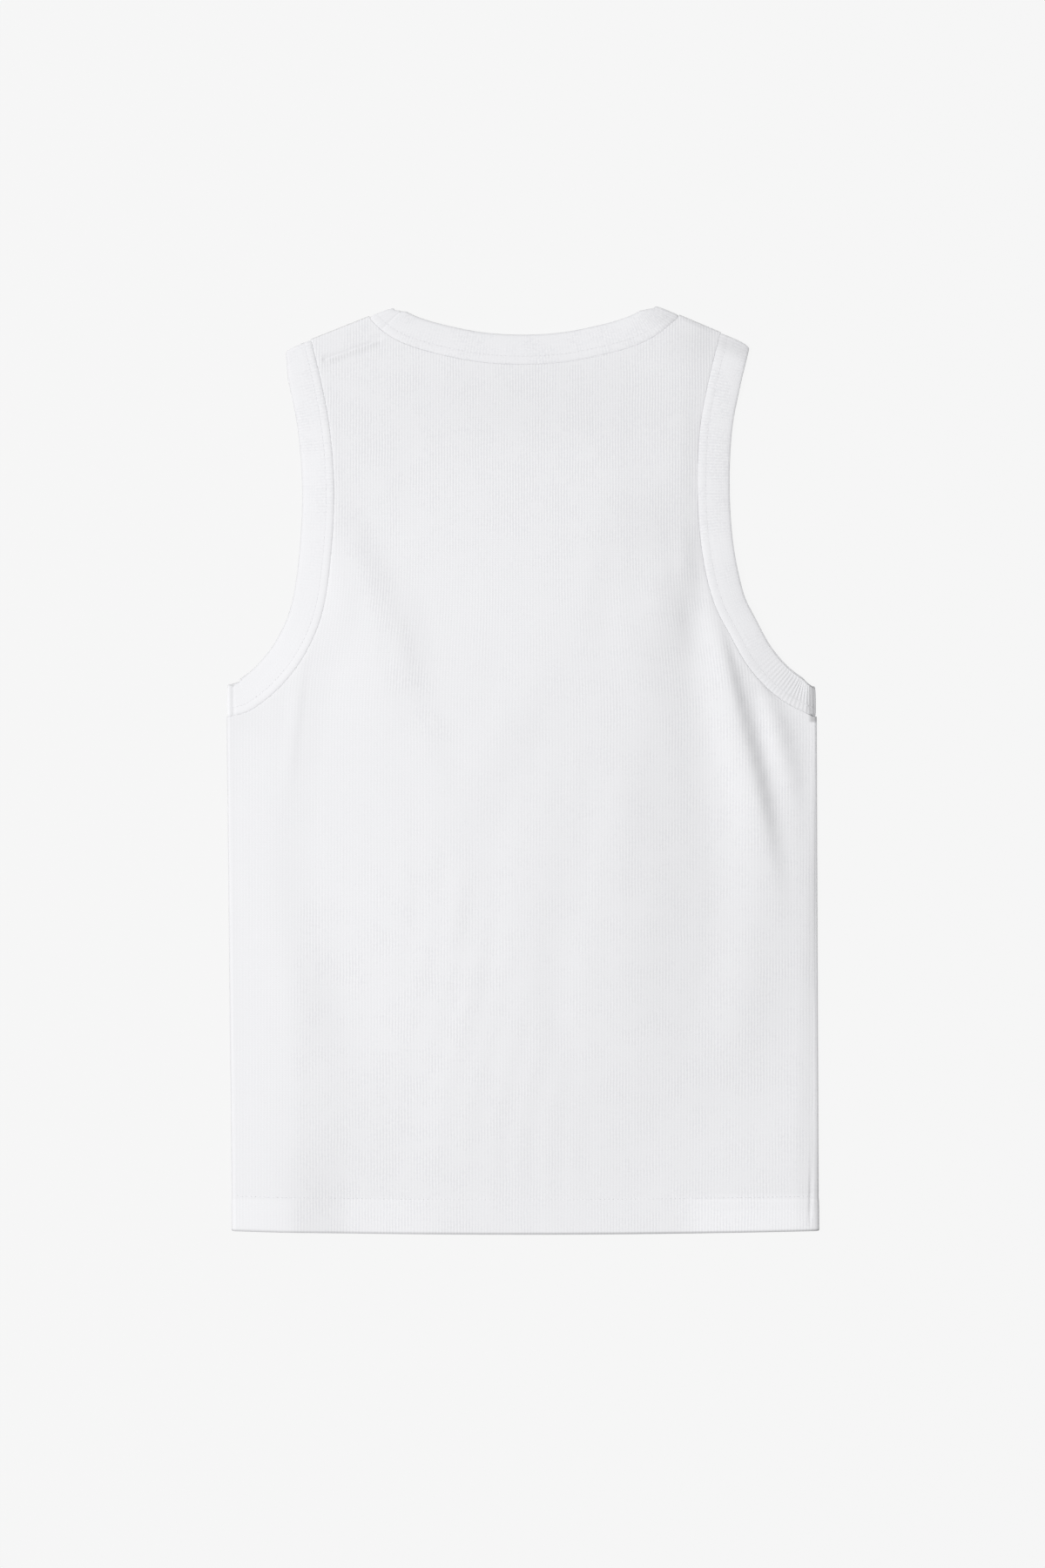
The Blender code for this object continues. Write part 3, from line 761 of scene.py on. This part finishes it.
neckBand = Band(
    neckCurve(backNeck, curves["band"]), neckCurve(frontNeck, curves["band"]), bandCut["neckWidth"],
    (left["shoulder"], -left["shoulder"].along, bandCut["neckAtShoulder"]),
    (right["shoulder"], -right["shoulder"].along, bandCut["neckAtShoulder"]), straightTips=True,
)


# Sewing: each stitch is one small grain of thread

thread = {
    "length": 2.3, "pitch": 3.0, "thickness": 0.36, "flatness": 1.3, "inset": 5.4, "start": 0.12,
    "bandHeight": 0.765, "hemLines": (18.4, 24.0), "hemShift": (0.0, 1.0), "hemReach": 196.0,
    "proud": 0.02, "sunk": 0.1, "bowRun": 2.0, "twist": (1500.0, 2.0, 0.5), "bump": 0.00003,
    "roughness": 0.7, "sheen": 0.1, "colour": (0.88, 0.88, 0.895), "shade": (0.80, 0.80, 0.82),
}


def addStitch(mesh, start, end):
    run = Vector(end) - Vector(start)
    length = run.length
    ahead = run.normalized()
    side = ahead.cross(Vector((0, 0, 1))).normalized()
    above = side.cross(ahead)
    turn = Matrix((ahead, side, above)).transposed().to_4x4()
    thick = thread["thickness"] / 2
    size = Matrix.Diagonal((length / 2, thick, thick / thread["flatness"], 1.0))
    middle = (Vector(start) + Vector(end)) / 2
    place = Matrix.Scale(mm, 4) @ Matrix.Translation(middle) @ turn @ size
    bmesh.ops.create_icosphere(mesh, subdivisions=1, radius=1.0, matrix=place)


def bandStitches(mesh, band):
    for seam in (0, 1):
        length = band.seams[seam][1][-1]
        count = int(length / thread["pitch"])
        for k in range(count):
            low = (k + thread["start"]) / count
            high = low + thread["length"] / length
            if high > 1.0:
                continue
            routes = (low, high) if seam == 0 else (3.0 - low, 3.0 - high)
            frames = [band.frameAt(route) for route in routes]
            addStitch(mesh, *[band.spot(place, 0, thread["inset"], thread["bandHeight"]) for place in frames])


def hemStitches(mesh, panel):
    depth = -thread["proud"] if panel["lifted"] else thread["sunk"]
    for row, shift in zip(thread["hemLines"], thread["hemShift"]):
        count = int(2 * thread["hemReach"] / thread["pitch"])
        for x in shift - thread["hemReach"] + np.arange(count) * thread["pitch"]:
            end = (x + thread["length"], hemHeight(x + thread["bowRun"]) + row)
            plan = np.array(((x, hemHeight(x) + row), end))
            addStitch(mesh, *placedPoints(plan, np.full(2, depth), panel["lifted"]))


# Materials

class Wire:
    def __init__(self, net, socket):
        self.net, self.socket = net, socket

    def __add__(self, other):
        return self.net.maths("ADD", self, other)

    def __sub__(self, other):
        return self.net.maths("SUBTRACT", self, other)

    def __rsub__(self, other):
        return self.net.maths("SUBTRACT", other, self)

    def __mul__(self, other):
        return self.net.maths("MULTIPLY", self, other)

    __radd__ = __add__
    __rmul__ = __mul__


class Net:
    def __init__(self, name):
        self.material = bpy.data.materials.new(name)
        self.material.use_nodes = True
        self.tree = self.material.node_tree
        self.shader = self.tree.nodes["Principled BSDF"]

    def add(self, kind, settings, values):
        node = self.tree.nodes.new(kind)
        for key, value in settings.items():
            setattr(node, key, value)
        for key, value in values.items():
            self.feed(node.inputs[key], value)
        return node

    def feed(self, socket, value):
        if isinstance(value, Wire):
            value = value.socket
        if isinstance(value, bpy.types.NodeSocket):
            self.tree.links.new(value, socket)
        else:
            socket.default_value = value

    def finish(self, settings):
        for key, value in settings.items():
            self.feed(self.shader.inputs[key], value)
        return self.material

    def split(self, vector):
        parts = self.add("ShaderNodeSeparateXYZ", {}, {0: vector})
        return Wire(self, parts.outputs[0]), Wire(self, parts.outputs[1])

    def blend(self, share, first, second):
        values = {0: share, 6: (*first, 1.0), 7: (*second, 1.0)}
        return self.add("ShaderNodeMix", {"data_type": "RGBA"}, values).outputs[2]

    def noise(self, place, scale, detail, roughness):
        values = {"Vector": place, "Scale": scale, "Detail": detail, "Roughness": roughness}
        return Wire(self, self.add("ShaderNodeTexNoise", {}, values).outputs[0])

    def ramp(self, value, start, end):
        values = {0: value, 1: start, 2: end}
        node = self.add("ShaderNodeMapRange", {"interpolation_type": "SMOOTHSTEP"}, values)
        return Wire(self, node.outputs[0])

    def total(self, amount, places, lines):
        for share, *ramps in places.values():
            for line, start, end in ramps:
                share = self.ramp(lines[line], start, end) * share
            amount = share + amount
        return amount

    def maths(self, operation, first, second=0.0):
        node = self.add("ShaderNodeMath", {"operation": operation}, {0: first, 1: second})
        return Wire(self, node.outputs[0])


cotton = {
    "colour": (0.86, 0.86, 0.875),
    "shade": (0.775, 0.775, 0.795),
    "roughness": 0.9,
    "course": 1.3,
    "loopSlant": 1.1,
    "bump": 0.00003,
    "drift": 0.8,
    "driftNoise": (45.0, 2.0, 0.5),
    "cloudNoise": (38.0, 4.0, 0.6),
    "fluffNoise": (600.0, 2.0, 0.7),
    "patchNoise": (60.0, 4.0, 0.65),
    "ribShadeAndFluff": {"least": 0.12, "patchLeast": 0.3, "patch": 1.3},
    "shading": {"base": 0.24, "rib": -0.6, "fluff": 1.5, "cloud": 0.2, "loops": 0.08},
    "gatherShade": 0.2,
    "sheen": (0.15, 0.5),
    "gloss": 0.25,
}
# Places on the cloth: how much they add, then ramps along its lines, which fall where their ends are swapped
# Painted shade in the rib valleys, and the fluff's mottle with it: where it is stronger
bandRibShade = {"right": (0.5, ("x", -0.16, 0.15)), "shoulders": (0.75, ("y", 0.1, 0.22))}
bodyRibShade = {
    **bandRibShade,
    "lower left": (0.5, ("across", -1.6, -1.5), ("across", 0.3, -0.6), ("along", 3.2, 1.6)),
    "left blade": (
        0.5, ("bladeLine", -0.3, -0.1), ("bladeLine", 0.12, 0.0), ("along", 3.2, 3.6), ("along", 5.0, 4.6)),
}
# Painted shade of small gathers below the left shoulder's seam, in dashes along the rib valleys
bodyGatherShade = {
    "under the left shoulder's seam": (
        0.1, ("underSeam", -0.0062, -0.002), ("underSeam", 0.0004, -0.0012), ("x", -0.137, -0.128),
        ("x", -0.088, -0.104)),
}
# Painted light and shade on the body: painted shade across the yoke (less above it), on the right shoulder,
# in the hem's dip and its left pleat, along the hem's edge and both side folds, in the lower left, beside the
# right armhole, at the hem's right corner and under the right band's tip; painted light on the hem, on a
# ridge over it, along the right seam and on the right shoulder's fold
bodyPaintedShading = {
    "hem": (0.003, ("along", 0.25, 0.235)),
    "hem, right": (0.057, ("along", 0.25, 0.235), ("across", 1.0, 1.25)),
    "hem, left": (0.024, ("along", 0.25, 0.235), ("across", -0.5, -0.8)),
    "left pleat in the hem": (
        -0.024, ("along", 0.25, 0.235), ("across", -1.62, -1.5), ("across", -1.15, -1.25)),
    "yoke": (-0.0087, ("along", 5.2, 5.6)),
    "yoke, right": (-0.0203, ("along", 5.2, 5.6), ("x", -0.13, 0.02)),
    "above the yoke": (0.003915, ("along", 5.72, 6.0)),
    "above the yoke, right": (0.009135, ("along", 5.72, 6.0), ("x", -0.13, 0.02)),
    "right shoulder": (-0.045, ("x", 0.08, 0.112), ("y", 0.266, 0.292)),
    "light on the right shoulder's fold": (0.12, ("shoulderLine", 0.3515, 0.3545), ("x", 0.08, 0.1)),
    "ridge over the hem": (0.02, ("along", 0.235, 0.255), ("along", 0.29, 0.27), ("across", 1.1, 1.4)),
    "dip in the hem": (-0.016, ("along", 0.155, 0.18), ("along", 0.235, 0.215), ("across", 1.1, 1.4)),
    "hem's edge to the right": (-0.14, ("hemEdge", 0.022, 0.006), ("across", -1.8, 1.2)),
    "hem's edge": (-0.23, ("hemEdge", 0.022, 0.006)),
    "left fold": (-0.13, ("leftEdge", 1.958, 1.975)),
    "lower left": (-0.012, ("across", -0.85, -1.45), ("along", 2.4, 1.3)),
    "hem's right corner": (-0.03, ("across", 1.83, 1.93), ("along", 0.42, 0.2)),
    "beside the right armhole": (
        -0.015, ("across", 0.9, 1.02), ("across", 1.2, 1.16), ("along", 3.8, 4.1), ("along", 4.6, 4.4)),
    "along the right seam": (0.035, ("seamLine", 0.1575, 0.1625), ("x", 0.13, 0.145), ("x", 0.186, 0.178)),
    "under the right tip": (-0.35, ("x", 0.1935, 0.197), ("y", 0.0315, 0.0335)),
    "right fold": (-0.16, ("rightEdge", 1.93, 2.015), ("along", 0.9, 0.2)),
}
# Painted light and shade on the bands: painted shade along their outer edges (most at the left), on the right
# shoulder, at the neck's right tip, the left tip, the right band's underarm end and its inner edge; painted
# light on the right band's outer edge, on the fold at the right shoulder, on the neck's right side, on the
# left band's inner half and low part, and on the right band above the crease
bandPaintedShading = {
    "outer edge": (-0.05, ("along", 0.3, 0.36)),
    "left outer edge": (-0.07, ("along", 0.3, 0.36), ("x", -0.1, -0.14)),
    "right outer edge": (0.11, ("along", 0.3, 0.36), ("x", 0.1, 0.12)),
    "neck, right": (0.015, ("x", 0.02, 0.05), ("x", 0.1, 0.09)),
    "left, inner half": (0.035, ("x", -0.1, -0.14), ("along", 0.33, 0.15)),
    "right shoulder": (-0.06, ("shoulderLine", 0.337, 0.349), ("x", 0.07, 0.1)),
    "right shoulder's corner": (-0.06, ("shoulderLine", 0.337, 0.349), ("x", 0.11, 0.13)),
    "light on the fold": (0.096, ("shoulderLine", 0.351, 0.3545), ("x", 0.07, 0.1)),
    "light on the fold's corner": (0.096, ("shoulderLine", 0.351, 0.3545), ("x", 0.11, 0.13)),
    "right, above the crease": (0.032, ("y", 0.06, 0.09), ("y", 0.18, 0.15), ("x", 0.115, 0.125)),
    "neck's right tip": (-0.03, ("x", 0.074, 0.09), ("x", 0.116, 0.108), ("y", 0.297, 0.309)),
    "low left": (0.018, ("x", -0.1, -0.14), ("y", 0.12, 0.06)),
    "left tip": (-0.05, ("x", -0.194, -0.1975)),
    "low right": (-0.07, ("x", 0.165, 0.19), ("y", 0.075, 0.062)),
    "right tip": (-0.2, ("x", 0.1943, 0.1962), ("y", 0.075, 0.062)),
    "right inner edge": (-0.04, ("along", 0.11, 0.04), ("x", 0.1, 0.11)),
}


def cottonRib(name, brightness, ribShadeStrength, panel):
    net = Net(name)
    uv = net.add("ShaderNodeUVMap", {"uv_map": "knit"}, {})
    across, along = net.split(uv.outputs[0])
    place = net.add("ShaderNodeTexCoord", {}, {}).outputs["Object"]
    x, y = net.split(place)
    drift = net.noise(place, *cotton["driftNoise"])
    rib = net.maths("FRACT", across * (100 / ribs["pitch"]) + drift * cotton["drift"] + 1000.0)
    slant = net.maths("ABSOLUTE", rib - 0.5)
    turns = along * (100 / cotton["course"]) + slant * cotton["loopSlant"]
    loops = net.maths("SINE", turns * (2 * math.pi)) * 0.5 + 0.5
    valley = net.maths("COSINE", rib * (2 * math.pi)) * 0.5 + 0.5
    cloudy = net.noise(place, *cotton["cloudNoise"])
    fluffy = net.noise(place, *cotton["fluffNoise"])
    patchy = net.noise(place, *cotton["patchNoise"])
    lines = {"x": x, "y": y, "across": across, "along": along, "shoulderLine": y + x * 0.423}
    if panel:
        lines["hemEdge"] = along - across * across * 0.00616
        lines["leftEdge"] = along * -0.0107 - across
        lines["rightEdge"] = across + along * 0.004
        lines["seamLine"] = x * 0.777 + y * 0.63
        lines["underSeam"] = y * 0.943 - x * 0.333 - 0.30766
        lines["bladeLine"] = across + along * 0.4395 - 0.9475
    # painted shade in the rib valleys, and the fluff's mottle with it: stronger to the right, across the
    # shoulders, in the lower left and beside the left blade, faint elsewhere at the left
    opening, shading = cotton["ribShadeAndFluff"], cotton["shading"]
    ribShadeAndFluff = net.total(opening["least"], bodyRibShade if panel else bandRibShade, lines)
    ribShadeAndFluff = ribShadeAndFluff * (net.ramp(patchy, 0.4, 0.62) * opening["patch"] + opening["patchLeast"])
    shade = ribShadeAndFluff * ((valley - 0.5) * ribShadeStrength + fluffy * shading["fluff"] + shading["rib"])
    shade = shade + cloudy * shading["cloud"] + (1 - loops) * shading["loops"] + shading["base"]
    mix = net.blend(shade, cotton["colour"], cotton["shade"])
    # painted light and shade, place by place, on top of the cloth's brightness
    tone = net.total(brightness, bodyPaintedShading if panel else bandPaintedShading, lines)
    if panel:
        # painted shade of the gathers on the body
        tone = tone - net.total(0.0, bodyGatherShade, lines) * (valley + cotton["gatherShade"])
    colour = net.add("ShaderNodeVectorMath", {"operation": "SCALE"}, {0: mix, "Scale": tone})
    knitBump = net.add("ShaderNodeBump", {}, {"Height": loops, "Distance": cotton["bump"], "Strength": 1.0})
    values = {"Height": fluffy, "Distance": cotton["bump"], "Strength": 1.0, "Normal": knitBump.outputs[0]}
    return net.finish({
        "Base Color": colour.outputs[0],
        "Roughness": cotton["roughness"] + (fluffy - 0.5) * 0.1,
        "Normal": net.add("ShaderNodeBump", {}, values).outputs[0],
        "Sheen Weight": cotton["sheen"][0],
        "Sheen Roughness": cotton["sheen"][1],
        "Specular IOR Level": cotton["gloss"],
    })


def threadFinish():
    net = Net("thread")
    place = net.add("ShaderNodeTexCoord", {}, {}).outputs["Object"]
    twist = net.noise(place, *thread["twist"])
    bump = net.add("ShaderNodeBump", {}, {"Height": twist, "Distance": thread["bump"], "Strength": 1.0})
    return net.finish({
        "Base Color": net.blend(twist, thread["colour"], thread["shade"]),
        "Normal": bump.outputs[0],
        "Roughness": thread["roughness"],
        "Sheen Weight": thread["sheen"],
    })


bodyCotton = cottonRib("bodyRibCotton", 1.0, 0.9, True)
bandCotton = cottonRib("bandRibCotton", 1.01, 0.3, False)
sewingThread = threadFinish()

back = buildPanel("back_shell", backPanel, bodyCotton)
thicken(back, garment["cloth"])
print("back shell:", len(back.data.polygons), "faces")
front = buildPanel("front_shell", frontPanel, bodyCotton)
thicken(front, garment["cloth"])
print("front shell:", len(front.data.polygons), "faces")

leftBand, rightBand = armholeBand(left), armholeBand(right)
bands = {
    "neck_binding": buildBand("neck_binding", neckBand, (0.045,), bandCotton),
    "left_binding": buildBand("left_binding", leftBand, (0.008,), bandCotton),
    "right_binding": buildBand("right_binding", rightBand, (), bandCotton, underarm),
}
for piece in bands.values():
    thicken(piece, bandCut["wall"])
print("bands:", [len(piece.data.polygons) for piece in bands.values()])


def stitchRows(name, make, along):
    mesh = bmesh.new()
    make(mesh, along)
    for face in mesh.faces:
        face.smooth = True
    return asObject(name, mesh, sewingThread)


stitches = {
    "neck_binding": stitchRows("neck_topstitch", bandStitches, neckBand),
    "left_binding": stitchRows("left_armhole_topstitch", bandStitches, leftBand),
    "right_binding": stitchRows("right_armhole_topstitch", bandStitches, rightBand),
    "back_shell": stitchRows("back_hem_stitch", hemStitches, backPanel),
    "front_shell": stitchRows("front_hem_stitch", hemStitches, frontPanel),
}
print("sewing:", sum(len(piece.data.polygons) for piece in stitches.values()), "faces")


# What stands for what

for piece, node, slot in (
    (back, "back", "body_rib"), (front, "front", "body_rib"),
    (bands["neck_binding"], "neck_band", "band_rib"),
    (bands["left_binding"], "armhole_band_left", "band_rib"),
    (bands["right_binding"], "armhole_band_right", "band_rib"),
):
    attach(piece, "root")
    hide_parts(node)
for host, piece in stitches.items():
    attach(piece, "root")


# Floor, light and camera

studio = {
    "floorColour": (0.92, 0.92, 0.92), "floorGlow": 0.9216, "floorGlowShare": 0.97, "floorSize": 12.0,
    "floorDrop": 0.0003, "sky": 0.34, "lamp": 8.3, "lampDistance": 8.0, "lampSize": 5.0,
    "lampHeight": 62.0, "lampFrom": 178.0,
}


def makeFloor():
    mesh = bmesh.new()
    under = Matrix.Translation((0, 0, -studio["floorDrop"]))
    bmesh.ops.create_grid(mesh, x_segments=1, y_segments=1, size=studio["floorSize"], matrix=under)
    net = Net("studioFloor")
    net.finish({"Base Color": (*studio["floorColour"], 1.0), "Roughness": 1.0, "Specular IOR Level": 0.0})
    glow = net.add("ShaderNodeEmission", {}, {"Color": (1.0, 1.0, 1.0, 1.0), "Strength": studio["floorGlow"]})
    values = {0: studio["floorGlowShare"], 1: net.shader.outputs[0], 2: glow.outputs[0]}
    mix = net.add("ShaderNodeMixShader", {}, values)
    net.feed(net.tree.nodes["Material Output"].inputs["Surface"], mix.outputs[0])
    floor = asObject("floor", mesh, net.material)


makeFloor()
world = bpy.data.worlds.new("studio")
world.use_nodes = True
sky = world.node_tree.nodes["Background"]
sky.inputs["Color"].default_value = (1.0, 1.0, 1.0, 1.0)
sky.inputs["Strength"].default_value = studio["sky"]
bpy.context.scene.world = world

lampData = bpy.data.lights.new("window", "AREA")
lampData.shape = "DISK"
lampData.size = studio["lampSize"]
lampData.energy = studio["lamp"] * studio["lampDistance"] ** 2
lamp = bpy.data.objects.new("window", lampData)
bpy.context.scene.collection.objects.link(lamp)
turn, climb = math.radians(studio["lampFrom"]), math.radians(studio["lampHeight"])
toLamp = Vector((math.cos(turn) * math.cos(climb), math.sin(turn) * math.cos(climb), math.sin(climb)))
lamp.rotation_euler = toLamp.to_track_quat("Z", "Y").to_euler()
lamp.location = toLamp * studio["lampDistance"]

view = {"lens": 90.0, "sensor": 36.0, "pictureHeight": 1.0662, "middle": (0.0, -0.0096, 0.003)}
cameraData = bpy.data.cameras.new("overhead")
cameraData.lens = view["lens"]
cameraData.sensor_width = view["sensor"]
camera = bpy.data.objects.new("overhead", cameraData)
bpy.context.scene.collection.objects.link(camera)
distance = view["pictureHeight"] * view["lens"] / view["sensor"]
camera.location = Vector(view["middle"]) + Vector((0, 0, distance))
bpy.context.scene.camera = camera
bpy.context.scene.view_settings.view_transform = "Standard"
